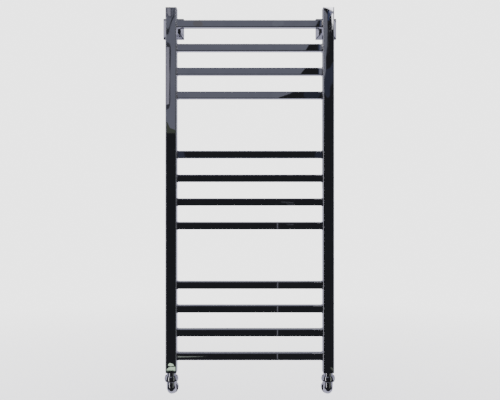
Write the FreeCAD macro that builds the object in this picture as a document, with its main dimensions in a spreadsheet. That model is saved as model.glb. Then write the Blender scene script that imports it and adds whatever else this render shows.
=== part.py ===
import FreeCAD, Part
import math
import os
import Sketcher

doc = FreeCAD.newDocument("LadderTowelRail")
vector = FreeCAD.Vector

# Wall-hung ladder towel rail. +Z is up, +X is to the right, the room is towards -Y
# and the wall is the plane y = 0. z = 0 is the height of the two wall brackets.

# ---------------------------------------------------------------- driving dimensions, mm
values = {
    "overallWidth": 450,
    "railLength": 974,
    "postSize": 30,
    "postCorner": 3,
    "postWall": 1.5,
    "rungSize": 20,
    "rungCorner": 2.5,
    "rungWall": 1.5,
    "rungPitch": 63.5,
    "groupGap": 158.6,
    "endMargin": 42.65,
    "wallToFront": 75,
    "portRadius": 7,
    "capThickness": 2,
    "ventHoleRadius": 3.5,
    "ventFlangeRadius": 4.2,
    "ventFlangeHeight": 0.8,
    "ventShankLength": 8,
    "ventBoreRadius": 1.55,
    "ventSeatRadius": 0.8,
    "ventSeatLength": 1.6,
    "ventScrewRadius": 1.5,
    "ventHeadRadius": 2.4,
    "ventHeadHeight": 1.3,
    "ventSlotWidth": 0.7,
    "ventSlotDepth": 0.7,
    "bossRadius": 12,
    "bossHeight": 3,
    "stemRadius": 8,
    "stemToWall": 12,
    "runningGap": 0.05,
    "looseGap": 0.3,
    "sleeveRadius": 11,
    "sleeveReach": 34,
    "plateSize": 44,
    "plateCorner": 3,
    "plateThickness": 3,
    "screwHoleRadius": 2.25,
    "screwSpacing": 32,
    "rosetteSize": 57,
    "rosetteSkirt": 8,
    "rosetteDepth": 23,
    "rosetteNose": 25,
    "rosetteWall": 1.5,
    "rosetteInnerDepth": 20.8,
    "rosetteRingRadius": 13,
    "rosetteRingLength": 2,
    "grubRadius": 2,
    "grubLength": 2.4,
    "grubFromEnd": 4,
    "grubKeyRadius": 1.15,
    "grubKeyDepth": 1.2,
    "socketRadius": 12,
    "socketLength": 12,
    "spigotRadius": 9,
    "spigotLength": 12,
    "tailRadius": 12.7,
    "tailFlangeRadius": 14.2,
    "tailFlangeTop": 12,
    "tailFlangeHeight": 2,
    "waterRadius": 6.5,
    "nutTop": 9,
    "nutBottom": 25,
    "nutRimRadius": 16.6,
    "nutBulge": 15.8,
    "nutLip": 2.7,
    "nutCavityRadius": 14.5,
    "gasketThickness": 2,
    "gasketRadius": 13.9,
    "elbowDrop": 49.5,
    "elbowRadius": 12.7,
    "elbowBend": 16,
    "elbowThreadRadius": 14.45,
    "elbowThreadLength": 7.7,
    "elbowOutlet": 34,
    "pipeRadius": 7.6,
    "pipeSocketLength": 14,
    "pipeNutRadius": 15.6,
    "pipeNutLength": 18,
    "pipeNutBack": 41,
    "pipeNutCavityRadius": 12.75,
    "pipeNutLipRadius": 7.85,
    "pipeNutLip": 3.3,
    "pipeNutChamfer": 1.2,
    "oliveRadius": 10.5,
    "oliveBoreRadius": 7.8,
    "oliveEdgeRadius": 8.9,
    "oliveLength": 3.4,
}

sheet = doc.addObject("Spreadsheet::Sheet", "Dimensions")
for row, (alias, number) in enumerate(values.items(), start=1):
    sheet.set("A%d" % row, alias)
    sheet.set("B%d" % row, str(number))
    sheet.setAlias("B%d" % row, alias)
doc.recompute()


class Dim:
    # A length kept two ways: its number, and the same sum in words for setExpression.
    def __init__(self, number, text):
        self.number = number
        self.text = text

    def __add__(self, other):
        other = asDim(other)
        return Dim(self.number + other.number, "(%s + %s)" % (self.text, other.text))

    def __sub__(self, other):
        other = asDim(other)
        return Dim(self.number - other.number, "(%s - %s)" % (self.text, other.text))

    def __mul__(self, factor):
        return Dim(self.number * factor, "(%s * %s)" % (self.text, factor))

    def __truediv__(self, factor):
        return Dim(self.number / factor, "(%s / %s)" % (self.text, factor))

    def __neg__(self):
        return Dim(-self.number, "(0 - %s)" % self.text)


def asDim(item):
    if isinstance(item, Dim):
        return item
    return Dim(item, "(%s)" % item)


def size(alias):
    return Dim(values[alias], "Dimensions.%s" % alias)


def bind(item, name, dim):
    item.setExpression(name, asDim(dim).text)


def place(item, x, y, z, rotation=None):
    # The turn is set first; the three distances stay bound to the sheet.
    if rotation:
        item.Placement = FreeCAD.Placement(vector(0, 0, 0), rotation)
    bind(item, "Placement.Base.x", x)
    bind(item, "Placement.Base.y", y)
    bind(item, "Placement.Base.z", z)


towardRoom = FreeCAD.Rotation(vector(1, 0, 0), 90)     # local +Z points at the room, -Y
towardWall = FreeCAD.Rotation(vector(1, 0, 0), -90)    # local +Z points at the wall, +Y
downward = FreeCAD.Rotation(vector(1, 0, 0), 180)      # local +Z points down

# ---------------------------------------------------------------- shared positions
postX = (size("overallWidth") - size("postSize")) / 2
postY = -size("wallToFront") + size("postSize") / 2
topZ = size("endMargin")
bottomZ = size("endMargin") - size("railLength")

pieces = {}    # label of each sub-part -> its document object


# ---------------------------------------------------------------- helpers for sketches
def originPlane(body, role):
    for feature in body.Origin.OriginFeatures:
        if feature.Role == role:
            return feature
    raise ValueError("no plane %s" % role)


def newBody(label):
    body = doc.addObject("PartDesign::Body", label)
    body.Label = label
    pieces[label] = body
    return body


def newSketch(body, role, name, lift=None):
    sketch = body.newObject("Sketcher::SketchObject", name)
    sketch.AttachmentSupport = [(originPlane(body, role), "")]
    sketch.MapMode = "FlatFace"
    if lift is not None:
        bind(sketch, "AttachmentOffset.Base.z", lift)
    return sketch


def pin(sketch, kind, edge, corner, dim):
    dim = asDim(dim)
    index = sketch.addConstraint(Sketcher.Constraint(kind, -1, 1, edge, corner, dim.number))
    bind(sketch, "Constraints[%d]" % index, dim)


def drawOutline(sketch, corners):
    # corners run anticlockwise as (across, up) or (across, up, radius of the arc that follows)
    first = sketch.GeometryCount
    count = len(corners)
    for i, corner in enumerate(corners):
        after = corners[(i + 1) % count]
        start = vector(asDim(corner[0]).number, asDim(corner[1]).number, 0)
        end = vector(asDim(after[0]).number, asDim(after[1]).number, 0)
        if len(corner) == 3:
            radius = asDim(corner[2])
            chord = end - start
            rise = math.sqrt(radius.number ** 2 - (chord.Length / 2) ** 2)
            left = vector(-chord.y, chord.x, 0).normalize()
            centre = (start + end) * 0.5 + left * rise
            begin = math.atan2(start.y - centre.y, start.x - centre.x)
            finish = math.atan2(end.y - centre.y, end.x - centre.x)
            circle = Part.Circle(centre, vector(0, 0, 1), radius.number)
            sketch.addGeometry(Part.ArcOfCircle(circle, begin, finish))
        else:
            sketch.addGeometry(Part.LineSegment(start, end))
    for i in range(count):
        follow = first + (i + 1) % count
        sketch.addConstraint(Sketcher.Constraint("Coincident", first + i, 2, follow, 1))
    for i, corner in enumerate(corners):
        pin(sketch, "DistanceX", first + i, 1, corner[0])
        pin(sketch, "DistanceY", first + i, 1, corner[1])
        if len(corner) == 3:
            radius = asDim(corner[2])
            index = sketch.addConstraint(
                Sketcher.Constraint("Radius", first + i, radius.number))
            bind(sketch, "Constraints[%d]" % index, radius)


def drawSquare(sketch, side):
    half = side / 2
    drawOutline(sketch, [(-half, -half), (half, -half), (half, half), (-half, half)])


def drawCircle(sketch, across, up, radius):
    across = asDim(across)
    up = asDim(up)
    radius = asDim(radius)
    centre = vector(across.number, up.number, 0)
    edge = sketch.addGeometry(Part.Circle(centre, vector(0, 0, 1), radius.number))
    index = sketch.addConstraint(Sketcher.Constraint("Radius", edge, radius.number))
    bind(sketch, "Constraints[%d]" % index, radius)
    pin(sketch, "DistanceX", edge, 3, across)
    pin(sketch, "DistanceY", edge, 3, up)


def pad(body, sketch, length, name, midplane=False, reverse=False):
    feature = body.newObject("PartDesign::Pad", name)
    feature.Profile = sketch
    feature.Midplane = midplane
    feature.Reversed = reverse
    bind(feature, "Length", length)
    doc.recompute()
    return feature


def pocket(body, sketch, length, name, reverse=False):
    before = body.Shape.Volume
    feature = body.newObject("PartDesign::Pocket", name)
    feature.Profile = sketch
    feature.Reversed = reverse
    bind(feature, "Length", length)
    doc.recompute()
    if body.Shape.Volume > before - 0.5:
        raise ValueError("%s in %s cuts nothing" % (name, body.Label))
    return feature


def roundLongEdges(body, feature, direction, reach, radius, name):
    # Rounds the edges along direction that lie at the corners of a square, reach from its axis.
    names = []
    for i, edge in enumerate(feature.Shape.Edges, start=1):
        if len(edge.Vertexes) != 2:
            continue
        start = edge.Vertexes[0].Point
        run = (edge.Vertexes[1].Point - start)
        if run.Length < 0.1 or abs(run.normalize().dot(direction)) < 0.999:
            continue
        across = start - direction * start.dot(direction)
        if abs(across.Length - reach.number * math.sqrt(2)) < 0.01:
            names.append("Edge%d" % i)
    fillet = body.newObject("PartDesign::Fillet", name)
    fillet.Base = (feature, names)
    bind(fillet, "Radius", radius)
    doc.recompute()
    return fillet


def turned(label, corners):
    # A body of revolution about its own Z axis; corners are (radius, height) pairs.
    body = newBody(label)
    sketch = newSketch(body, "XZ_Plane", label + "_profile")
    drawOutline(sketch, corners)
    feature = body.newObject("PartDesign::Revolution", label + "_turn")
    feature.Profile = sketch
    feature.ReferenceAxis = (sketch, ["V_Axis"])
    feature.Angle = 360
    doc.recompute()
    return body


def cylinder(name, radius, length, rotation=None, x=0, y=0, z=0):
    item = doc.addObject("Part::Cylinder", name)
    bind(item, "Radius", radius)
    bind(item, "Height", length)
    place(item, x, y, z, rotation)
    return item


def fused(name, items):
    item = doc.addObject("Part::MultiFuse", name)
    item.Shapes = items
    item.Refine = True
    return item


def cut(name, base, tool):
    item = doc.addObject("Part::Cut", name)
    item.Base = base
    item.Tool = tool
    item.Refine = True
    return item


# ---------------------------------------------------------------- rail: posts and rungs
rungHeights = []
for group in range(3):
    for step in range(4):
        drop = size("rungPitch") * (group * 3 + step) + size("groupGap") * group
        rungHeights.append(-drop)


def makePost(label, side):
    length = size("railLength") - size("capThickness") * 2
    half = size("postSize") / 2
    body = newBody(label)
    section = newSketch(body, "XY_Plane", label + "_section")
    drawSquare(section, size("postSize"))
    drawSquare(section, size("postSize") - size("postWall") * 2)
    tube = pad(body, section, length, label + "_tube")
    along = vector(0, 0, 1)
    outer = roundLongEdges(body, tube, along, half, size("postCorner"), label + "_corners")
    inner = half - size("postWall")
    roundLongEdges(body, outer, along, inner, size("postCorner") / 2, label + "_inner_corners")
    base = bottomZ + size("capThickness")
    ports = newSketch(body, "YZ_Plane", label + "_ports")
    for height in rungHeights:
        drawCircle(ports, 0, height - base, size("portRadius"))
    pocket(body, ports, half + 1, label + "_port_holes", reverse=(side < 0))
    seat = newSketch(body, "XZ_Plane", label + "_bracket_seat")
    drawCircle(seat, 0, -base, size("stemRadius"))
    pocket(body, seat, half + 1, label + "_bracket_hole")
    place(body, postX * side, postY, base)
    return body


def makeRung(label, height):
    half = size("rungSize") / 2
    body = newBody(label)
    section = newSketch(body, "YZ_Plane", label + "_section")
    drawSquare(section, size("rungSize"))
    drawSquare(section, size("rungSize") - size("rungWall") * 2)
    span = size("overallWidth") - size("postSize") * 2
    tube = pad(body, section, span, label + "_tube", midplane=True)
    along = vector(1, 0, 0)
    outer = roundLongEdges(body, tube, along, half, size("rungCorner"), label + "_corners")
    inner = half - size("rungWall")
    roundLongEdges(body, outer, along, inner, size("rungCorner") / 2, label + "_inner_corners")
    place(body, 0, postY, height)
    return body


def makeCap(label, side, holeRadius, socket, z):
    # A square plate let in flush with the post's end; the lower one carries a socket.
    half = size("postSize") / 2
    body = newBody(label)
    section = newSketch(body, "XY_Plane", label + "_section")
    drawSquare(section, size("postSize"))
    plate = pad(body, section, size("capThickness"), label + "_plate")
    roundLongEdges(body, plate, vector(0, 0, 1), half, size("postCorner"), label + "_corners")
    if socket:
        ring = newSketch(body, "XY_Plane", label + "_socket_ring")
        drawCircle(ring, 0, 0, size("socketRadius"))
        pad(body, ring, size("socketLength"), label + "_socket")
    hole = newSketch(body, "XY_Plane", label + "_hole")
    drawCircle(hole, 0, 0, holeRadius)
    pocket(body, hole, size("socketLength") + 1, label + "_bore", reverse=True)
    place(body, postX * side, postY, z)
    return body


for number, height in enumerate(rungHeights, start=1):
    makeRung("rung_%02d" % number, height)


# ---------------------------------------------------------------- air vents on top
def makeVentBody(label, side):
    shank = size("ventHoleRadius")
    bore = size("ventBoreRadius")
    seat = size("ventSeatRadius")
    flange = size("ventFlangeRadius")
    top = size("ventFlangeHeight")
    foot = -size("ventShankLength")
    seatTop = foot + size("ventSeatLength")
    body = turned(label, [
        (seat, foot), (shank, foot), (shank, asDim(0)), (flange, asDim(0)),
        (flange, top - 0.25), (flange - 0.25, top), (bore, top), (bore, seatTop),
        (seat, seatTop)])
    place(body, postX * side, postY, topZ)
    return body


def makeVentScrew(label, side):
    underHead = size("ventFlangeHeight") + size("looseGap")
    reach = underHead + size("ventShankLength") - size("ventSeatLength") - size("looseGap")
    headTop = underHead + size("ventHeadHeight")
    shank = cylinder(label + "_shank", size("ventScrewRadius"), reach, z=underHead - reach)
    head = cylinder(label + "_head", size("ventHeadRadius"), size("ventHeadHeight"), z=underHead)
    blank = fused(label + "_blank", [shank, head])
    slot = doc.addObject("Part::Box", label + "_slot")
    bind(slot, "Length", size("ventHeadRadius") * 2 + 2)
    bind(slot, "Width", size("ventSlotWidth"))
    bind(slot, "Height", size("ventSlotDepth") + 1)
    place(slot, -size("ventHeadRadius") - 1, -size("ventSlotWidth") / 2,
          headTop - size("ventSlotDepth"))
    screw = cut(label, blank, slot)
    place(screw, postX * side, postY, topZ)
    pieces[label] = screw
    return screw


# ---------------------------------------------------------------- wall brackets
def makeBracketBoss(label, side):
    rim = size("bossRadius")
    height = size("bossHeight")
    body = turned(label, [
        (size("stemRadius"), asDim(0)), (rim, asDim(0)), (rim, height - 1),
        (rim - 1, height), (size("stemRadius"), height)])
    place(body, postX * side, postY + size("postSize") / 2, 0, towardWall)
    return body


def makeBracketStem(label, side):
    start = -size("postWall")
    end = size("wallToFront") - size("postSize") - size("stemToWall")
    radius = size("stemRadius")
    body = turned(label, [
        (asDim(0), start), (radius, start), (radius, end - 0.8), (radius - 0.8, end),
        (asDim(0), end)])
    place(body, postX * side, postY + size("postSize") / 2, 0, towardWall)
    return body


def makeWallPlate(label, side):
    half = size("plateSize") / 2
    body = newBody(label)
    section = newSketch(body, "XY_Plane", label + "_section")
    drawSquare(section, size("plateSize"))
    plate = pad(body, section, size("plateThickness"), label + "_plate")
    roundLongEdges(body, plate, vector(0, 0, 1), half, size("plateCorner"), label + "_corners")
    holes = newSketch(body, "XY_Plane", label + "_hole_circles")
    drawCircle(holes, 0, size("screwSpacing") / 2, size("screwHoleRadius"))
    drawCircle(holes, 0, -size("screwSpacing") / 2, size("screwHoleRadius"))
    pocket(body, holes, size("plateThickness") + 1, label + "_holes", reverse=True)
    place(body, postX * side, 0, 0, towardRoom)
    return body


def makeSleeve(label, side):
    length = size("sleeveReach") - size("plateThickness")
    bore = size("stemRadius") + size("runningGap")
    outside = cylinder(label + "_outside", size("sleeveRadius"), length)
    inside = cylinder(label + "_inside", bore, length)
    tube = cut(label + "_tube", outside, inside)
    thread = cylinder(label + "_grub_hole", size("grubRadius") + size("runningGap"),
                      size("sleeveRadius") + 1, towardRoom, z=length - size("grubFromEnd"))
    sleeve = cut(label, tube, thread)
    place(sleeve, postX * side, -size("plateThickness"), 0, towardRoom)
    pieces[label] = sleeve
    return sleeve


def makeGrubScrew(label, side):
    start = size("stemRadius") + size("looseGap")
    blank = cylinder(label + "_blank", size("grubRadius"), size("grubLength"), z=start)
    key = doc.addObject("Part::Prism", label + "_key")
    key.Polygon = 6
    bind(key, "Circumradius", size("grubKeyRadius"))
    bind(key, "Height", size("grubKeyDepth") + 1)
    place(key, 0, 0, start + size("grubLength") - size("grubKeyDepth"))
    grub = cut(label, blank, key)
    place(grub, postX * side, -size("sleeveReach") + size("grubFromEnd"), 0, downward)
    pieces[label] = grub
    return grub


def pyramid(name, rimSide, noseSide, rimY, noseY):
    item = doc.addObject("Part::Wedge", name)
    bind(item, "Ymin", noseY)
    bind(item, "Ymax", rimY)
    bind(item, "Xmin", -noseSide / 2)
    bind(item, "Xmax", noseSide / 2)
    bind(item, "Zmin", -noseSide / 2)
    bind(item, "Zmax", noseSide / 2)
    bind(item, "X2min", -rimSide / 2)
    bind(item, "X2max", rimSide / 2)
    bind(item, "Z2min", -rimSide / 2)
    bind(item, "Z2max", rimSide / 2)
    return item


def squareBlock(name, side, front, back):
    item = doc.addObject("Part::Box", name)
    bind(item, "Length", side)
    bind(item, "Width", back - front)
    bind(item, "Height", side)
    place(item, -side / 2, front, -side / 2)
    return item


def makeRosette(label, side):
    # A hollow square cover: a straight skirt against the wall, then four sloping faces.
    outer = size("rosetteSize")
    nose = size("rosetteNose")
    wall = size("rosetteWall")
    back = -size("looseGap")
    rim = -size("rosetteSkirt")
    front = -size("rosetteDepth")
    skirt = squareBlock(label + "_skirt", outer, rim, back)
    slopes = pyramid(label + "_slopes", outer, nose, rim, front)
    skin = fused(label + "_skin", [skirt, slopes])
    hollowRim = rim + wall * 0.6
    hollow = squareBlock(label + "_hollow", outer - wall * 2, hollowRim, asDim(1))
    hollowSlopes = pyramid(label + "_hollow_slopes", outer - wall * 2, nose + 1,
                           hollowRim, -size("rosetteInnerDepth"))
    bore = cylinder(label + "_bore", size("sleeveRadius") + size("runningGap"),
                    size("rosetteDepth") + 2, towardRoom)
    inside = fused(label + "_inside", [hollow, hollowSlopes, bore])
    rosette = cut(label, skin, inside)
    place(rosette, postX * side, 0, 0)
    pieces[label] = rosette
    return rosette


def makeRosetteRing(label, side):
    inner = size("sleeveRadius") + size("looseGap")
    outer = size("rosetteRingRadius")
    length = size("rosetteRingLength")
    body = turned(label, [
        (inner, asDim(0)), (outer, asDim(0)), (outer, length), (inner, length)])
    place(body, postX * side, -size("rosetteInnerDepth"), 0, towardWall)
    return body


# ---------------------------------------------------------------- unions under the posts
def makeTailpiece(label, side):
    water = size("waterRadius")
    spigot = size("spigotRadius")
    neck = size("tailRadius")
    flange = size("tailFlangeRadius")
    flangeTop = -size("tailFlangeTop")
    flangeFoot = flangeTop - size("tailFlangeHeight")
    body = turned(label, [
        (water, flangeFoot), (flange, flangeFoot), (flange, flangeTop), (neck, flangeTop),
        (neck, asDim(0)), (spigot, asDim(0)), (spigot, size("spigotLength")),
        (water, size("spigotLength"))])
    place(body, postX * side, postY, bottomZ)
    return body


def makeUnionNut(label, side):
    # Barrel-shaped nut, hung on the tailpiece's flange by its top lip.
    top = -size("nutTop")
    foot = -size("nutBottom")
    rim = size("nutRimRadius")
    cavity = size("nutCavityRadius")
    lip = size("tailRadius") + size("runningGap")
    lipFoot = top - size("nutLip")
    body = turned(label, [
        (cavity, foot), (rim - 0.5, foot), (rim, foot + 0.5, size("nutBulge")),
        (rim, top - 0.5), (rim - 0.5, top), (lip, top), (lip, lipFoot), (cavity, lipFoot)])
    place(body, postX * side, postY, bottomZ)
    return body


def makeUnionGasket(label, side):
    top = -size("tailFlangeTop") - size("tailFlangeHeight")
    foot = top - size("gasketThickness")
    body = turned(label, [
        (size("waterRadius"), foot), (size("gasketRadius"), foot),
        (size("gasketRadius"), top), (size("waterRadius"), top)])
    place(body, postX * side, postY, bottomZ)
    return body


def pipeRun(name, radius, riser, outlet):
    # Vertical leg, quarter bend and horizontal leg of one radius, meeting at the corner (0, 0, 0).
    bend = size("elbowBend")
    upright = cylinder(name + "_upright", radius, riser - bend, z=bend)
    level = cylinder(name + "_level", radius, outlet - bend, towardWall, y=bend)
    quarter = doc.addObject("Part::Torus", name + "_bend")
    bind(quarter, "Radius1", bend)
    bind(quarter, "Radius2", radius)
    quarter.Angle3 = 90
    swing = FreeCAD.Rotation(vector(0, -1, 0), vector(0, 0, -1), vector(1, 0, 0), "XYZ")
    place(quarter, 0, bend, bend, swing)
    return fused(name, [upright, quarter, level])


def makeElbow(label, side):
    drop = size("elbowDrop")
    head = drop - (size("tailFlangeTop") + size("tailFlangeHeight") + size("gasketThickness"))
    riser = head - size("looseGap")
    outlet = size("elbowOutlet")
    run = pipeRun(label + "_run", size("elbowRadius"), riser, outlet)
    thread = cylinder(label + "_thread", size("elbowThreadRadius"), size("elbowThreadLength"),
                      z=riser - size("elbowThreadLength"))
    solid = fused(label + "_solid", [run, thread])
    water = pipeRun(label + "_water", size("waterRadius"), riser, outlet)
    socket = cylinder(label + "_socket", size("pipeRadius"), size("pipeSocketLength"),
                      towardWall, y=outlet - size("pipeSocketLength"))
    hollow = fused(label + "_hollow", [water, socket])
    elbow = cut(label, solid, hollow)
    place(elbow, postX * side, postY, bottomZ - drop)
    pieces[label] = elbow
    return elbow


def makePipeNut(label, side):
    # Local z = 0 is the nut's rear face, where the pipe enters; it opens towards the wall.
    foot = -size("pipeNutLength")
    rim = size("pipeNutRadius")
    chamfer = size("pipeNutChamfer")
    cavity = size("pipeNutCavityRadius")
    lip = size("pipeNutLipRadius")
    lipFoot = -size("pipeNutLip")
    body = turned(label, [
        (cavity, foot), (rim - chamfer, foot), (rim, foot + chamfer), (rim, -chamfer),
        (rim - chamfer, asDim(0)), (lip, asDim(0)), (lip, lipFoot), (cavity, lipFoot)])
    place(body, postX * side, postY + size("pipeNutBack"), bottomZ - size("elbowDrop"),
          towardWall)
    return body


def makeOlive(label, side):
    bore = size("oliveBoreRadius")
    edge = size("oliveEdgeRadius")
    length = size("oliveLength")
    third = length / 3
    body = turned(label, [
        (bore, asDim(0)), (edge, asDim(0)), (size("oliveRadius"), third),
        (size("oliveRadius"), length - third), (edge, length), (bore, length)])
    place(body, postX * side, postY + size("elbowOutlet"), bottomZ - size("elbowDrop"),
          towardWall)
    return body


# ---------------------------------------------------------------- left and right sets
for name, side in (("left", -1), ("right", 1)):
    makePost(name + "_post", side)
    makeCap(name + "_top_cap", side, size("ventHoleRadius"), False,
            topZ - size("capThickness"))
    makeCap(name + "_bottom_cap", side, size("spigotRadius"), True, bottomZ)
    makeVentBody(name + "_vent_body", side)
    makeVentScrew(name + "_vent_screw", side)
    makeBracketBoss(name + "_bracket_boss", side)
    makeBracketStem(name + "_bracket_stem", side)
    makeWallPlate(name + "_wall_plate", side)
    makeSleeve(name + "_sleeve", side)
    makeGrubScrew(name + "_grub_screw", side)
    makeRosette(name + "_rosette", side)
    makeRosetteRing(name + "_rosette_ring", side)
    makeTailpiece(name + "_tailpiece", side)
    makeUnionNut(name + "_union_nut", side)
    makeUnionGasket(name + "_union_gasket", side)
    makeElbow(name + "_elbow", side)
    makePipeNut(name + "_pipe_nut", side)
    makeOlive(name + "_olive", side)

doc.recompute()

# ---------------------------------------------------------------- checks and STEP files
for item in doc.Objects:
    if "Invalid" in item.State or "Error" in item.State:
        raise ValueError("%s did not recompute: %s" % (item.Name, item.State))

os.makedirs("parts", exist_ok=True)
for label, item in sorted(pieces.items()):
    item.Label = label
    shape = item.Shape
    if shape.isNull() or not shape.isValid() or shape.Volume <= 0:
        raise ValueError("%s has no valid solid" % label)
    if len(shape.Solids) != 1:
        raise ValueError("%s has %d solids" % (label, len(shape.Solids)))
    shape.exportStep("parts/%s.step" % label)
    box = shape.BoundBox
    print("%-20s x %8.2f %8.2f  y %7.2f %7.2f  z %8.2f %8.2f  vol %9.0f" % (
        label, box.XMin, box.XMax, box.YMin, box.YMax, box.ZMin, box.ZMax, shape.Volume))
print("%d sub-parts written" % len(pieces))
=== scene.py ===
import math

import bpy
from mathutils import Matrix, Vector


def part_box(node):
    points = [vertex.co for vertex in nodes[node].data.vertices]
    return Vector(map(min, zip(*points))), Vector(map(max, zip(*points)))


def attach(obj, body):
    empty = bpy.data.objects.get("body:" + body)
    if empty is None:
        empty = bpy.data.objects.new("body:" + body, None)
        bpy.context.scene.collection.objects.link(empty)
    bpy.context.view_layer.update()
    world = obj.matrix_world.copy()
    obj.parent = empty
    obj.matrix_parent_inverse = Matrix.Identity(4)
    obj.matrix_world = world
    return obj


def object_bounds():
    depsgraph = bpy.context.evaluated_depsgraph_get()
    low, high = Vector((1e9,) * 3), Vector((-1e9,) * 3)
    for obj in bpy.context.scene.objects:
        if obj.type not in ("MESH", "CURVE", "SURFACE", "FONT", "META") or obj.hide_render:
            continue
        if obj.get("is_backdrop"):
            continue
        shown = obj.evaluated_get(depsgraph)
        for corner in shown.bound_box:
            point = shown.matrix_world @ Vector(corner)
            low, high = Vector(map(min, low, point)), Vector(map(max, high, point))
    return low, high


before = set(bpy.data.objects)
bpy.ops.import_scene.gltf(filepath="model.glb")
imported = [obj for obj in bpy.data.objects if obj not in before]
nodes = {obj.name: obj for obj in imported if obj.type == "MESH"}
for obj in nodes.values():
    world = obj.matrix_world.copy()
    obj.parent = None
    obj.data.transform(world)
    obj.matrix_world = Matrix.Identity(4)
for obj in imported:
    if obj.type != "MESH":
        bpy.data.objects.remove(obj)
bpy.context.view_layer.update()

scene = bpy.context.scene
sides = ("left", "right")
rungNames = ["rung_%02d" % number for number in range(1, 13)]
print("frame loaded:", len(nodes), "nodes")


class Wire:
    # one output socket, so that shader sums can be written as sums
    def __init__(self, tree, socket):
        self.tree = tree
        self.socket = socket

    def node(self, kind, settings, sockets, out=0):
        made = self.tree.nodes.new(kind)
        for name, value in settings.items():
            setattr(made, name, value)
        for name, value in sockets.items():
            if isinstance(value, Wire):
                self.tree.links.new(value.socket, made.inputs[name])
            else:
                made.inputs[name].default_value = value
        return Wire(self.tree, made.outputs[out])

    def sum(self, operation, first, second):
        return self.node("ShaderNodeMath", {"operation": operation}, {0: first, 1: second})

    def __add__(self, other):
        return self.sum("ADD", self, other)

    def __radd__(self, other):
        return self.sum("ADD", other, self)

    def __mul__(self, other):
        return self.sum("MULTIPLY", self, other)

    def __rmul__(self, other):
        return self.sum("MULTIPLY", other, self)

    def __pow__(self, other):
        return self.sum("POWER", self, other)

    def into(self, socket):
        self.tree.links.new(self.socket, socket)


def newMaterial(name, metallic):
    # an empty material, its main shader and a wire carrying the object's own coordinates
    material = bpy.data.materials.new(name)
    material.use_nodes = True
    tree = material.node_tree
    shader = tree.nodes["Principled BSDF"]
    shader.inputs["Metallic"].default_value = metallic
    place = tree.nodes.new("ShaderNodeTexCoord")
    return material, shader, Wire(tree, place.outputs["Object"])


def stretched(place, along):
    # coordinates squeezed along one axis, so that noise becomes long lines that way
    return place.node("ShaderNodeMapping", {}, {"Vector": place, "Scale": along})


def grain(place, scale, detail=3.0):
    return place.node("ShaderNodeTexNoise", {}, {"Vector": place, "Scale": scale, "Detail": detail})


def cells(place, scale, feature="F1"):
    return place.node("ShaderNodeTexVoronoi", {"feature": feature}, {"Vector": place, "Scale": scale})


def between(mask, low, high):
    # fades 0 to 1 as the mask goes from low to high
    return mask.node("ShaderNodeMapRange", {"clamp": True}, {
        "Value": mask, "From Min": low, "From Max": high})


def blend(mask, first, second):
    # sockets 6 and 7 are the Mix node's two colours, and output 2 is its colour
    return mask.node("ShaderNodeMix", {"data_type": "RGBA"}, {
        "Factor": mask, 6: (*first, 1.0), 7: (*second, 1.0)}, out=2)


def raised(height):
    # bumps whose height is in metres
    return height.node("ShaderNodeBump", {}, {"Height": height, "Distance": 1.0, "Strength": 1.0})


def darker(tint, share):
    return tuple(part * share for part in tint)


# In every finish below, the sizes are how many marks lie in a metre and the heights are in metres.
tubePolish = {
    "tint": (0.60, 0.605, 0.64),        # bright face of the plated steel
    "smearTint": (0.54, 0.545, 0.585),  # where a cloth left a film
    "roughness": 0.012,
    "smearRoughness": 0.035,
    "dropRoughness": 0.05,              # dried water drops
    "smearSize": 22.0,
    "dropSize": 95.0,
    "dropPatchSize": 9.0,
    "waveSize": 14.0,                   # waves left by the polishing wheel
    "waveHeight": 0.00009,
    "lineHeight": 0.0000010,
}


def polishedTube(name, lines):
    # mirror-polished square tube; lines is the squeeze that draws the polishing lines out
    look = tubePolish
    material, shader, place = newMaterial(name, 1.0)
    smears = between(grain(place, look["smearSize"], 4.0), 0.45, 0.75)
    drops = between(cells(place, look["dropSize"]), 0.10, 0.07)
    marks = drops * between(grain(place, look["dropPatchSize"]), 0.55, 0.7)
    blend(smears, look["tint"], look["smearTint"]).into(shader.inputs["Base Color"])
    rough = look["roughness"] + smears * look["smearRoughness"] + marks * look["dropRoughness"]
    rough.into(shader.inputs["Roughness"])
    waves = grain(stretched(place, lines["waves"]), look["waveSize"], 1.0)
    scratches = grain(stretched(place, lines["lines"]), 1.0, 2.0)
    height = waves * look["waveHeight"] + scratches * look["lineHeight"]
    raised(height).into(shader.inputs["Normal"])
    return material


fittingPolish = {
    "tint": (0.60, 0.60, 0.635),
    "smearShare": 0.9,                  # how bright the smears are beside the metal
    "roughness": 0.018,
    "smearRoughness": 0.04,
    "smearSize": 60.0,
    "rings": (20.0, 20.0, 900.0),       # squeeze that turns noise into rings across the axis
    "ringHeight": 0.000002,
    "waveSize": 70.0,
    "waveHeight": 0.00003,
}


def polishedFitting(name):
    # turned and plated brass fittings: tighter polish, faint tool rings
    look = fittingPolish
    material, shader, place = newMaterial(name, 1.0)
    smears = between(grain(place, look["smearSize"]), 0.5, 0.8)
    smearTint = darker(look["tint"], look["smearShare"])
    blend(smears, look["tint"], smearTint).into(shader.inputs["Base Color"])
    (look["roughness"] + smears * look["smearRoughness"]).into(shader.inputs["Roughness"])
    rings = grain(stretched(place, look["rings"]), 1.0, 1.0)
    waves = grain(place, look["waveSize"], 1.0)
    height = rings * look["ringHeight"] + waves * look["waveHeight"]
    raised(height).into(shader.inputs["Normal"])
    return material


coverPolish = {
    "tint": (0.62, 0.62, 0.655),
    "smearTint": (0.55, 0.55, 0.59),
    "roughness": 0.02,
    "smearRoughness": 0.05,
    "smearSize": 40.0,
    "waveSize": 45.0,
    "waveHeight": 0.00005,
}


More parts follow.
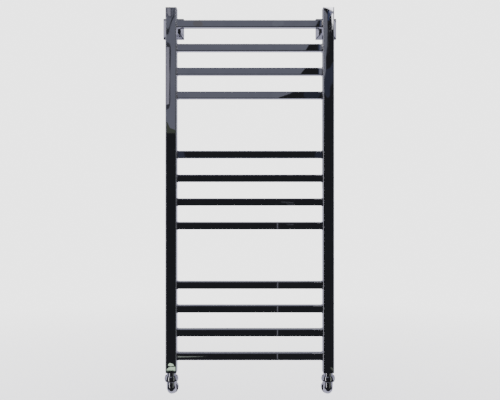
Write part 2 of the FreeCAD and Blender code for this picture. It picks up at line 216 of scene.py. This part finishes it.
def polishedCover(name):
    # pressed square cover, polished by hand
    look = coverPolish
    material, shader, place = newMaterial(name, 1.0)
    smears = between(grain(place, look["smearSize"], 4.0), 0.45, 0.75)
    blend(smears, look["tint"], look["smearTint"]).into(shader.inputs["Base Color"])
    (look["roughness"] + smears * look["smearRoughness"]).into(shader.inputs["Roughness"])
    waves = grain(place, look["waveSize"], 1.0)
    raised(waves * look["waveHeight"]).into(shader.inputs["Normal"])
    return material


weldFinish = {
    "tint": (0.74, 0.73, 0.75),
    "heatTint": (0.62, 0.56, 0.50),
    "roughness": 0.16,
    "rippleRoughness": 0.18,
    "rippleSize": 420.0,
    "rippleHeight": 0.00012,
    "heatSize": 120.0,
}


def weldedSeam(name):
    # dressed weld: satin ripples with a trace of heat colour
    look = weldFinish
    material, shader, place = newMaterial(name, 1.0)
    ripple = grain(place, look["rippleSize"])
    heat = between(grain(place, look["heatSize"], 2.0), 0.5, 0.75)
    blend(heat, look["tint"], look["heatTint"]).into(shader.inputs["Base Color"])
    (look["roughness"] + ripple * look["rippleRoughness"]).into(shader.inputs["Roughness"])
    raised(ripple * look["rippleHeight"]).into(shader.inputs["Normal"])
    return material


smallPlating = {
    "peelSize": 900.0,      # orange peel of the plating
    "peelHeight": 0.00001,
    "wornSize": 150.0,
    "wornShare": 0.82,      # how bright the worn places are beside the plating
    "wornRoughness": 0.15,
}


def brightPlate(name, tint, roughness):
    # small plated parts: fine orange peel
    look = smallPlating
    material, shader, place = newMaterial(name, 1.0)
    peel = grain(place, look["peelSize"], 2.0)
    worn = between(grain(place, look["wornSize"]), 0.5, 0.8)
    blend(worn, tint, darker(tint, look["wornShare"])).into(shader.inputs["Base Color"])
    (roughness + worn * look["wornRoughness"]).into(shader.inputs["Roughness"])
    raised(peel * look["peelHeight"]).into(shader.inputs["Normal"])
    return material


zincPlating = {
    "tint": (0.48, 0.50, 0.54),
    "spangleTint": (0.66, 0.67, 0.69),
    "spangleSize": 420.0,
    "roughness": 0.28,
    "rolledRoughness": 0.2,
    "rolled": (40.0, 40.0, 1600.0),     # squeeze that draws the rolling marks out
    "rolledHeight": 0.00003,
}


def zincSteel(name):
    # zinc plate: pale spangle over a rolled surface
    look = zincPlating
    material, shader, place = newMaterial(name, 1.0)
    spangle = cells(place, look["spangleSize"], "SMOOTH_F1")
    rolled = grain(stretched(place, look["rolled"]), 1.0, 2.0)
    blend(spangle, look["tint"], look["spangleTint"]).into(shader.inputs["Base Color"])
    (look["roughness"] + rolled * look["rolledRoughness"]).into(shader.inputs["Roughness"])
    raised(rolled * look["rolledHeight"]).into(shader.inputs["Normal"])
    return material


rubberFinish = {
    "bloomSize": 140.0,     # pale bloom of old rubber
    "bloomShare": 1.9,
    "bloomLift": 0.01,
    "roughness": 0.55,
    "bloomRoughness": 0.3,
    "grainSize": 1500.0,
    "grainHeight": 0.00002,
}


def softRubber(name, tint):
    look = rubberFinish
    material, shader, place = newMaterial(name, 0.0)
    bloom = between(grain(place, look["bloomSize"], 4.0), 0.45, 0.8)
    bloomTint = tuple(part * look["bloomShare"] + look["bloomLift"] for part in tint)
    blend(bloom, tint, bloomTint).into(shader.inputs["Base Color"])
    (look["roughness"] + bloom * look["bloomRoughness"]).into(shader.inputs["Roughness"])
    skin = grain(place, look["grainSize"], 2.0)
    raised(skin * look["grainHeight"]).into(shader.inputs["Normal"])
    return material


alongRung = {"waves": (0.35, 1.0, 1.6), "lines": (9.0, 900.0, 900.0)}
alongPost = {"waves": (1.6, 1.0, 0.35), "lines": (900.0, 900.0, 9.0)}
rungMetal = polishedTube("rungMetal", alongRung)
postMetal = polishedTube("postMetal", alongPost)
fittingMetal = polishedFitting("fittingMetal")
coverMetal = polishedCover("coverMetal")
weldMetal = weldedSeam("weldMetal")
ventMetal = brightPlate("ventMetal", (0.66, 0.66, 0.68), 0.08)
blackScrew = brightPlate("blackScrew", (0.06, 0.06, 0.065), 0.3)
zincMetal = zincSteel("zincMetal")
oliveBrass = brightPlate("oliveBrass", (0.72, 0.52, 0.24), 0.2)
ringRubber = softRubber("ringRubber", (0.018, 0.018, 0.02))
gasketRubber = softRubber("gasketRubber", (0.035, 0.035, 0.04))

sidePieces = {
    "post": postMetal, "top_cap": postMetal, "bottom_cap": postMetal,
    "bracket_boss": fittingMetal, "bracket_stem": fittingMetal,
    "vent_body": ventMetal, "vent_screw": ventMetal,
    "wall_plate": zincMetal, "sleeve": zincMetal, "grub_screw": blackScrew,
    "rosette": coverMetal, "rosette_ring": ringRubber,
    "tailpiece": fittingMetal, "union_nut": fittingMetal, "elbow": fittingMetal,
    "pipe_nut": fittingMetal, "olive": oliveBrass, "union_gasket": gasketRubber,
}


def dress(node, material):
    for slot in nodes[node].material_slots:
        slot.material = material


for name in rungNames:
    dress(name, rungMetal)
for side in sides:
    for part, material in sidePieces.items():
        dress(side + "_" + part, material)
print("materials laid on the CAD nodes")


def chooseNothing():
    bpy.ops.object.select_all(action="DESELECT")


softEdges = {
    # width of the polished-over edges of each part, in metres
    "widths": {"rosette": 0.0018, "top_cap": 0.0005, "bottom_cap": 0.0005, "wall_plate": 0.0004},
    "steps": 4,
    "foldAngle": 25.0,          # folds sharper than this are rounded over
    "joinWithin": 0.00001,
}


def soften(node, width):
    # the sharp folds of a pressed or ground part are rounded over
    part = nodes[node]
    join = part.modifiers.new("joinFaces", "WELD")
    join.merge_threshold = softEdges["joinWithin"]
    fold = part.modifiers.new("softEdges", "BEVEL")
    fold.width = width
    fold.segments = softEdges["steps"]
    fold.limit_method = "ANGLE"
    fold.angle_limit = math.radians(softEdges["foldAngle"])
    fold.use_clamp_overlap = True


for side in sides:
    for part, width in softEdges["widths"].items():
        soften(side + "_" + part, width)
print("edges softened")


def settle(piece):
    # the piece's place goes into its mesh, so its object sits at the origin
    chooseNothing()
    piece.select_set(True)
    bpy.context.view_layer.objects.active = piece
    bpy.ops.object.transform_apply(location=True, rotation=True, scale=True)


weldSeam = {
    "proud": 0.0010,        # how far the seam stands out from the rung
    "width": 0.0016,        # how far it runs along the rung
    "corner": 0.0026,
    "cornerSteps": 5,
    "taper": 0.93,          # how much smaller it is where it meets the rung
    "lip": 0.0003,
    "lipSteps": 2,
    "smoothAngle": 40.0,
}


def seamMaster(low, high):
    # a low collar round the rung's end, wide at the post and narrow on the rung
    span = high - low
    chooseNothing()
    bpy.ops.mesh.primitive_cube_add(size=1.0, location=(0.0, 0.0, 0.0))
    seam = bpy.context.object
    seam.name = "seam_master"
    grow = 2 * weldSeam["proud"]
    seam.scale = (weldSeam["width"], span.y + grow, span.z + grow)
    bpy.ops.object.transform_apply(location=False, rotation=False, scale=True)
    bpy.ops.object.mode_set(mode="EDIT")
    bpy.ops.mesh.select_all(action="DESELECT")
    bpy.ops.object.mode_set(mode="OBJECT")
    for edge in seam.data.edges:
        start, end = (seam.data.vertices[corner].co for corner in edge.vertices)
        edge.select = abs(start.x - end.x) > weldSeam["width"] / 2
    bpy.ops.object.mode_set(mode="EDIT")
    bpy.ops.mesh.select_mode(type="EDGE")
    bpy.ops.mesh.bevel(offset=weldSeam["corner"], segments=weldSeam["cornerSteps"])
    bpy.ops.mesh.select_all(action="DESELECT")
    bpy.ops.object.mode_set(mode="OBJECT")
    for face in seam.data.polygons:
        face.select = face.normal.x > 0.9
    bpy.ops.object.mode_set(mode="EDIT")
    bpy.ops.mesh.select_mode(type="FACE")
    bpy.ops.transform.resize(value=(1.0, weldSeam["taper"], weldSeam["taper"]))
    bpy.ops.mesh.bevel(offset=weldSeam["lip"], segments=weldSeam["lipSteps"])
    bpy.ops.object.mode_set(mode="OBJECT")
    bpy.ops.object.shade_smooth_by_angle(angle=math.radians(weldSeam["smoothAngle"]))
    seam.data.materials.append(weldMetal)
    return seam


def layWelds():
    low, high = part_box(rungNames[0])
    master = seamMaster(low, high)
    for name in rungNames:
        low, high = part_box(name)
        middle = (low + high) / 2
        for side, x, inward, turn in (("left", low.x, 0.5, 0.0), ("right", high.x, -0.5, math.pi)):
            seam = master.copy()
            seam.data = master.data.copy()
            seam.name = "weld_%s_%s" % (name, side)
            scene.collection.objects.link(seam)
            seam.location = (x + inward * weldSeam["width"], middle.y, middle.z)
            seam.rotation_euler = (0.0, 0.0, turn)
            settle(seam)
            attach(seam, "rail")
    bpy.data.objects.remove(master)
    print("welds laid on", len(rungNames), "rungs")


layWelds()

# The room that the metal mirrors. None of it is seen by the camera. Lengths are in metres.
room = {
    "wallTint": (0.82, 0.81, 1.0),
    "wallTone": 0.84,               # pale walls all round
    "shadeTint": (0.86, 0.88, 1.0),
    "shadeRadius": 4.0,             # dark side of the room, behind the camera
    "shadeHalfAngle": 80.0,
    "shadeTone": 0.026,
    "eyeAway": 1.811,               # from the rail's front to the camera, and to the cards
    "eyeDrop": 0.4546,              # from the top rung down to eye level
    "stripAngle": 45.0,
    "stripAway": 2.6,
    "stripWidth": 0.30,
    "stripHeight": 5.0,
    "flagTint": (0.80, 0.82, 0.95),
    "flagAway": 4.4,
    "slabWidth": 16.0,
    "overhead": 3.0,                # ceiling and carpet, above and below eye level
}
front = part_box("left_post")[0].y
eyeHeight = -room["eyeDrop"]


def glow(name, tint, strength):
    material = bpy.data.materials.new(name)
    material.use_nodes = True
    tree = material.node_tree
    tree.nodes.clear()
    light = tree.nodes.new("ShaderNodeEmission")
    light.inputs["Color"].default_value = (*tint, 1.0)
    light.inputs["Strength"].default_value = strength
    out = tree.nodes.new("ShaderNodeOutputMaterial")
    tree.links.new(light.outputs[0], out.inputs["Surface"])
    return material


def onlyMirrored(item, name, tint, strength):
    # the item glows, and shows in the metal alone
    item.name = name
    item.data.materials.append(glow(name + "Glow", tint, strength))
    item.visible_camera = False
    item.visible_diffuse = False
    item.visible_transmission = False
    item.visible_shadow = False
    item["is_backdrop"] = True


def darkSide(name):
    # a tall curved wall behind the camera, cut from a cylinder
    chooseNothing()
    bpy.ops.mesh.primitive_cylinder_add(
        vertices=128, radius=room["shadeRadius"], depth=2 * room["overhead"], end_fill_type="NOTHING",
        location=(0.0, 0.0, eyeHeight))
    cut = -room["shadeRadius"] * math.cos(math.radians(room["shadeHalfAngle"]))
    bpy.ops.object.mode_set(mode="EDIT")
    bpy.ops.mesh.select_all(action="SELECT")
    bpy.ops.mesh.bisect(plane_co=(0.0, cut, 0.0), plane_no=(0.0, 1.0, 0.0), clear_outer=True)
    bpy.ops.object.mode_set(mode="OBJECT")
    onlyMirrored(bpy.context.object, name, room["shadeTint"], room["shadeTone"])


def upright(name, angle, away, lift, size, tint, strength):
    # an upright panel facing the rail; angle is from straight ahead, to the right
    turn = math.radians(angle)
    chooseNothing()
    bpy.ops.mesh.primitive_plane_add(
        size=1.0, location=(away * math.sin(turn), -away * math.cos(turn), eyeHeight + lift))
    panel = bpy.context.object
    panel.scale = (*size, 1.0)
    panel.rotation_euler = (math.pi / 2, 0.0, turn)
    onlyMirrored(panel, name, tint, strength)


def slab(name, nearEdge, farEdge, lift, tone):
    # a level sheet above or below, from one distance to another in front of the wall
    chooseNothing()
    middle = (nearEdge + farEdge) / 2
    bpy.ops.mesh.primitive_plane_add(size=1.0, location=(0.0, -middle, eyeHeight + lift))
    sheet = bpy.context.object
    sheet.scale = (room["slabWidth"], farEdge - nearEdge, 1.0)
    onlyMirrored(sheet, name, room["shadeTint"], tone)


def card(name, outline, tint, strength, nearer=0.0, bend="VECTOR"):
    # A flat card facing the rail. Its outline is where it shows on the rail's front,
    # in millimetres right of centre and above eye level.
    away = room["eyeAway"] - nearer
    grow = (1.0 + away / room["eyeAway"]) / 1000.0
    shape = bpy.data.curves.new(name, "CURVE")
    shape.dimensions = "2D"
    shape.fill_mode = "BOTH"
    spline = shape.splines.new("BEZIER")
    spline.bezier_points.add(len(outline) - 1)
    for point, (across, up) in zip(spline.bezier_points, outline):
        point.co = (across * grow, up * grow, 0.0)
        point.handle_left_type = bend
        point.handle_right_type = bend
    spline.use_cyclic_u = True
    spline.resolution_u = 12
    item = bpy.data.objects.new(name, shape)
    scene.collection.objects.link(item)
    item.location = (0.0, front - away, eyeHeight)
    item.rotation_euler = (math.pi / 2, 0.0, 0.0)
    onlyMirrored(item, name, tint, strength)


darkSide("darkSide")
slab("ceiling", -1.2, 8.0, room["overhead"], 0.15)
slab("carpet", 0.1, 8.0, -room["overhead"], 0.03)

strips = {  # tall narrow lights beside the camera: which side, tint, strength
    "stripLeft": (-1, (1.0, 0.98, 1.0), 2.6),
    "stripRight": (1, (0.80, 0.86, 0.76), 1.04),
}
for name, (side, tint, strength) in strips.items():
    size = (room["stripWidth"], room["stripHeight"])
    upright(name, side * room["stripAngle"], room["stripAway"], 0.0, size, tint, strength)

flags = {  # grey panels at the sides and back: angle, size, lift, tone
    "flagRight": (108.0, (0.7, 7.0), 0.0, 0.10),
    "flagLeft": (-108.0, (0.7, 7.0), 0.0, 0.10),
    "skirtRight": (98.0, (3.0, 2.0), -3.6, 0.04),
    "skirtLeft": (-98.0, (3.0, 2.0), -3.6, 0.04),
    "flagBackRight": (148.0, (1.1, 4.0), 0.3, 0.10),
    "flagBackLeft": (-148.0, (1.1, 4.0), 0.3, 0.10),
    "flagBack": (180.0, (2.4, 2.4), 1.25, 0.40),
}
for name, (angle, size, lift, tone) in flags.items():
    upright(name, angle, room["flagAway"], lift, size, room["flagTint"], tone)

coolWhite = (0.80, 0.82, 1.0)
paperWhite = (0.88, 0.86, 1.0)
lampWhite = (1.0, 0.98, 1.0)
clothBlue = (0.60, 0.66, 1.0)
paleGreen = (0.72, 0.92, 0.66)

# the lit part of the wall and what stands before it
cards = {
    "litWall": {
        "outline": [
            (-1400, 162), (-300, 162), (-196, 166), (-110, 180), (-10, 212), (40, 238), (69, 253),
            (104, 268), (140, 283), (128, 312), (149, 338), (147, 378), (157, 399), (171, 438),
            (184, 463), (188, 500), (190, 1700), (-1400, 1700)],
        "tint": coolWhite, "strength": 0.235},
    "warmPatch": {
        "outline": [(-152, 455), (-140, 447), (-126, 451), (-128, 460), (-148, 462)],
        "tint": (0.88, 0.85, 0.93), "strength": 0.205, "nearer": 0.01, "bend": "AUTO"},
    "coolPatch": {
        "outline": [(60, 449), (74, 446), (90, 452), (86, 463), (66, 462)],
        "tint": (0.80, 0.83, 1.0), "strength": 0.26, "nearer": 0.01, "bend": "AUTO"},
    "greenLedge": {
        "outline": [(-226, 200), (-216, 187), (-210, 176), (-194, 167), (-194, 162), (-226, 162)],
        "tint": (0.66, 0.74, 0.58), "strength": 0.12, "nearer": 0.02},
    "screenShadow": {
        "outline": [(-228, 486), (-223, 478), (-218, 470), (-206, 469), (-206, 500), (-228, 500)],
        "tint": coolWhite, "strength": 0.085, "nearer": 0.02},
    "paleScreen": {
        "outline": [(-222.5, 495), (-222.5, 482), (-218, 473), (-210, 472.5), (-210, 495)],
        "tint": paperWhite, "strength": 0.44, "nearer": 0.03},
    "tickLine": {
        "outline": [
            (-199, 494), (-199.5, 471), (-204.5, 461), (-209.5, 450), (-213.5, 441), (-216.5, 431),
            (-220, 424), (-228, 426), (-228, 438), (-221, 439), (-217, 442), (-213, 452),
            (-208, 463), (-203, 472), (-201, 494)],
        "tint": coolWhite, "strength": 0.055, "nearer": 0.025},
    "doorEdge": {
        "outline": [
            (-228, 402), (-216, 401), (-211.5, 394), (-212, 310), (-211.5, 236), (-215, 227),
            (-228, 226)],
        "tint": coolWhite, "strength": 0.07, "nearer": 0.02, "bend": "AUTO"},
    "paleDoor": {
        "outline": [(-223, 392), (-215, 390), (-214, 310), (-214, 240), (-223, 236)],
        "tint": (0.88, 0.85, 1.0), "strength": 0.42, "nearer": 0.03},
    "standLeg": {
        "outline": [
            (185, 313), (199, 311), (203, 330), (203.5, 365), (207, 395), (207.5, 440),
            (206.5, 478), (200, 487), (190, 494)],
        "tint": (0.84, 0.85, 1.0), "strength": 0.26, "nearer": 0.03},
    "lampShade": {
        "outline": [
            (190, 497.5), (200, 496), (207.5, 494), (213, 491), (218, 487.5), (222, 483),
            (226, 476), (260, 470), (260, 600), (190, 600)],
        "tint": lampWhite, "strength": 4.2, "nearer": 0.05},
    "lampTongue": {
        "outline": [(217.5, 468), (219, 480), (223, 480), (225, 452), (223, 436), (219, 450)],
        "tint": lampWhite, "strength": 3.4, "nearer": 0.05, "bend": "AUTO"},
    "lampRim": {
        "outline": [(208, 488), (216, 485), (216.5, 475), (212.5, 470), (213, 462), (207.5, 460)],
        "tint": (0.42, 0.50, 0.95), "strength": 0.15, "nearer": 0.035},
    "lilacShade": {
        "outline": [(213, 488), (219, 484), (217, 476), (214, 480)],
        "tint": (0.72, 0.72, 1.0), "strength": 0.40, "nearer": 0.045, "bend": "AUTO"},
    "blueShelf": {
        "outline": [
            (203, 330), (214, 336), (224, 350), (224, 300), (216, 285), (208, 256), (201, 262)],
        "tint": clothBlue, "strength": 0.075, "nearer": 0.02, "bend": "AUTO"},
    "blueDoor": {
        "outline": [(184, 312), (192, 312), (192, 468), (188, 468), (184, 420)],
        "tint": (0.36, 0.46, 1.0), "strength": 0.14, "nearer": 0.02},
    "blueShade": {
        "outline": [(146, 258), (180, 256), (186, 284), (156, 284)],
        "tint": (0.60, 0.68, 1.0), "strength": 0.055, "nearer": 0.02, "bend": "AUTO"},
    "blueCoat": {
        "outline": [(-194, 92), (-172, 92), (-178, 120), (-194, 120)],
        "tint": clothBlue, "strength": 0.085, "nearer": 0.03},
    "blueScarf": {
        "outline": [(172, 92), (196, 92), (196, 120), (176, 120)],
        "tint": clothBlue, "strength": 0.055, "nearer": 0.03},
    "greenSheetHigh": {
        "outline": [
            (-218, -456.5), (-216, -452), (-211, -449), (-205.5, -452), (-203, -457),
            (-210, -457.5)],
        "tint": paleGreen, "strength": 1.5, "nearer": 0.03},
    "greenSheetLow": {
        "outline": [
            (-223, -470), (-222, -466), (-217, -462), (-211, -460), (-199, -459.5),
            (-199, -470.5), (-207, -468.5), (-215, -469)],
        "tint": paleGreen, "strength": 1.4, "nearer": 0.03},
    "greenCurl": {
        "outline": [(215, -461), (221, -463), (224, -468), (224, -472), (218, -467)],
        "tint": (0.78, 0.86, 0.70), "strength": 0.16, "nearer": 0.03, "bend": "AUTO"},
    "greenStreak": {
        "outline": [(-194, -430.5), (-160, -431), (-110, -431.5), (-160, -433), (-194, -434)],
        "tint": (0.80, 0.90, 0.78), "strength": 0.42, "nearer": 0.03},
    "tripodLeg": {
        "outline": [(72.5, -440), (75.5, -440), (75.5, -60), (72.5, -60)],
        "tint": (0.88, 0.87, 1.0), "strength": 0.22, "nearer": 0.03},
}
for name, left, up in (("barOne", 84, -20), ("barTwo", 98, -26.5), ("barThree", 99, -80.5)):
    cards[name] = {
        "outline": [(left, up), (117, up - 0.6), (117, up - 2.4), (left, up - 1.8)],
        "tint": (0.85, 0.86, 1.0), "strength": 0.15, "nearer": 0.03}
for name, look in cards.items():
    card(name, **look)
print("room built round the rail")

world = bpy.data.worlds.new("paleRoom")
scene.world = world
world.use_nodes = True
sky = world.node_tree.nodes["Background"]
sky.inputs["Color"].default_value = (*room["wallTint"], 1.0)
sky.inputs["Strength"].default_value = room["wallTone"]

studio = {
    "floorDrop": 0.26,          # from the lowest fitting to the floor
    "floorReach": 14.0,
    "floorTint": (0.90, 0.90, 0.90),
    "mottleTint": (0.86, 0.86, 0.87),
    "floorRoughness": 0.9,
    "floorGloss": 0.1,
    "fadeFrom": 0.15,           # the floor turns into the plain background from here
    "fadeTo": 3.2,              # to here, in metres from the rail
    "fadeCurve": 0.6,
    "whiteness": 3.2,           # how bright the plain background looks
    "lampSize": 3.0,
    "lamps": {                  # place, and power in watts
        "overheadLamp": ((0.6, -0.8, 2.6), 220.0),
        "fillLamp": ((-2.4, -1.6, 1.2), 110.0),
    },
}


def buildFloor():
    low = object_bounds()[0]
    chooseNothing()
    bpy.ops.mesh.primitive_plane_add(
        size=studio["floorReach"] * 2, location=(0.0, 0.0, low[2] - studio["floorDrop"]))
    floor = bpy.context.object
    floor.name = "floor"
    material, shader, place = newMaterial("paleFloor", 0.0)
    tree = material.node_tree
    mottle = grain(place, 3.0, 4.0)
    blend(mottle, studio["floorTint"], studio["mottleTint"]).into(shader.inputs["Base Color"])
    shader.inputs["Roughness"].default_value = studio["floorRoughness"]
    shader.inputs["Specular IOR Level"].default_value = studio["floorGloss"]
    away = place.node("ShaderNodeVectorMath", {"operation": "LENGTH"}, {0: place}, out=1)
    fade = between(away, studio["fadeFrom"], studio["fadeTo"]) ** studio["fadeCurve"]
    light = tree.nodes.new("ShaderNodeEmission")
    light.inputs["Strength"].default_value = studio["whiteness"]
    mix = tree.nodes.new("ShaderNodeMixShader")
    fade.into(mix.inputs[0])
    tree.links.new(shader.outputs[0], mix.inputs[1])
    tree.links.new(light.outputs[0], mix.inputs[2])
    tree.links.new(mix.outputs[0], tree.nodes["Material Output"].inputs["Surface"])
    floor.data.materials.append(material)
    floor.visible_glossy = False
    floor.visible_diffuse = False
    floor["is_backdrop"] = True


def buildSky():
    # plain and pale all round, for the camera alone
    chooseNothing()
    bpy.ops.mesh.primitive_uv_sphere_add(radius=studio["floorReach"], segments=48, ring_count=24)
    dome = bpy.context.object
    dome.name = "dome"
    dome.data.materials.append(glow("domeGlow", (1.0, 1.0, 1.0), studio["whiteness"]))
    dome.visible_glossy = False
    dome.visible_diffuse = False
    dome.visible_transmission = False
    dome.visible_shadow = False
    dome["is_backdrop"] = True


def softLamp(name, place, power):
    lamp = bpy.data.lights.new(name, "AREA")
    lamp.shape = "DISK"
    lamp.size = studio["lampSize"]
    lamp.energy = power
    item = bpy.data.objects.new(name, lamp)
    scene.collection.objects.link(item)
    item.location = place
    aim = Vector((0.0, 0.0, eyeHeight)) - Vector(place)
    item.rotation_euler = aim.to_track_quat("-Z", "Y").to_euler()
    item.visible_glossy = False


buildFloor()
buildSky()
for name, (place, power) in studio["lamps"].items():
    softLamp(name, place, power)
print("floor, background and lamps placed")

eye = {"lens": 49.03, "sensor": 36.0, "sideways": 0.0004, "upright": -0.012}
lensBody = bpy.data.cameras.new("eye")
lensBody.lens = eye["lens"]
lensBody.sensor_width = eye["sensor"]
lensBody.shift_x = eye["sideways"]
lensBody.shift_y = eye["upright"]
camera = bpy.data.objects.new("eye", lensBody)
scene.collection.objects.link(camera)
camera.location = (0.0, front - room["eyeAway"], eyeHeight)
camera.rotation_euler = (math.pi / 2, 0.0, 0.0)
scene.camera = camera

print("camera set")
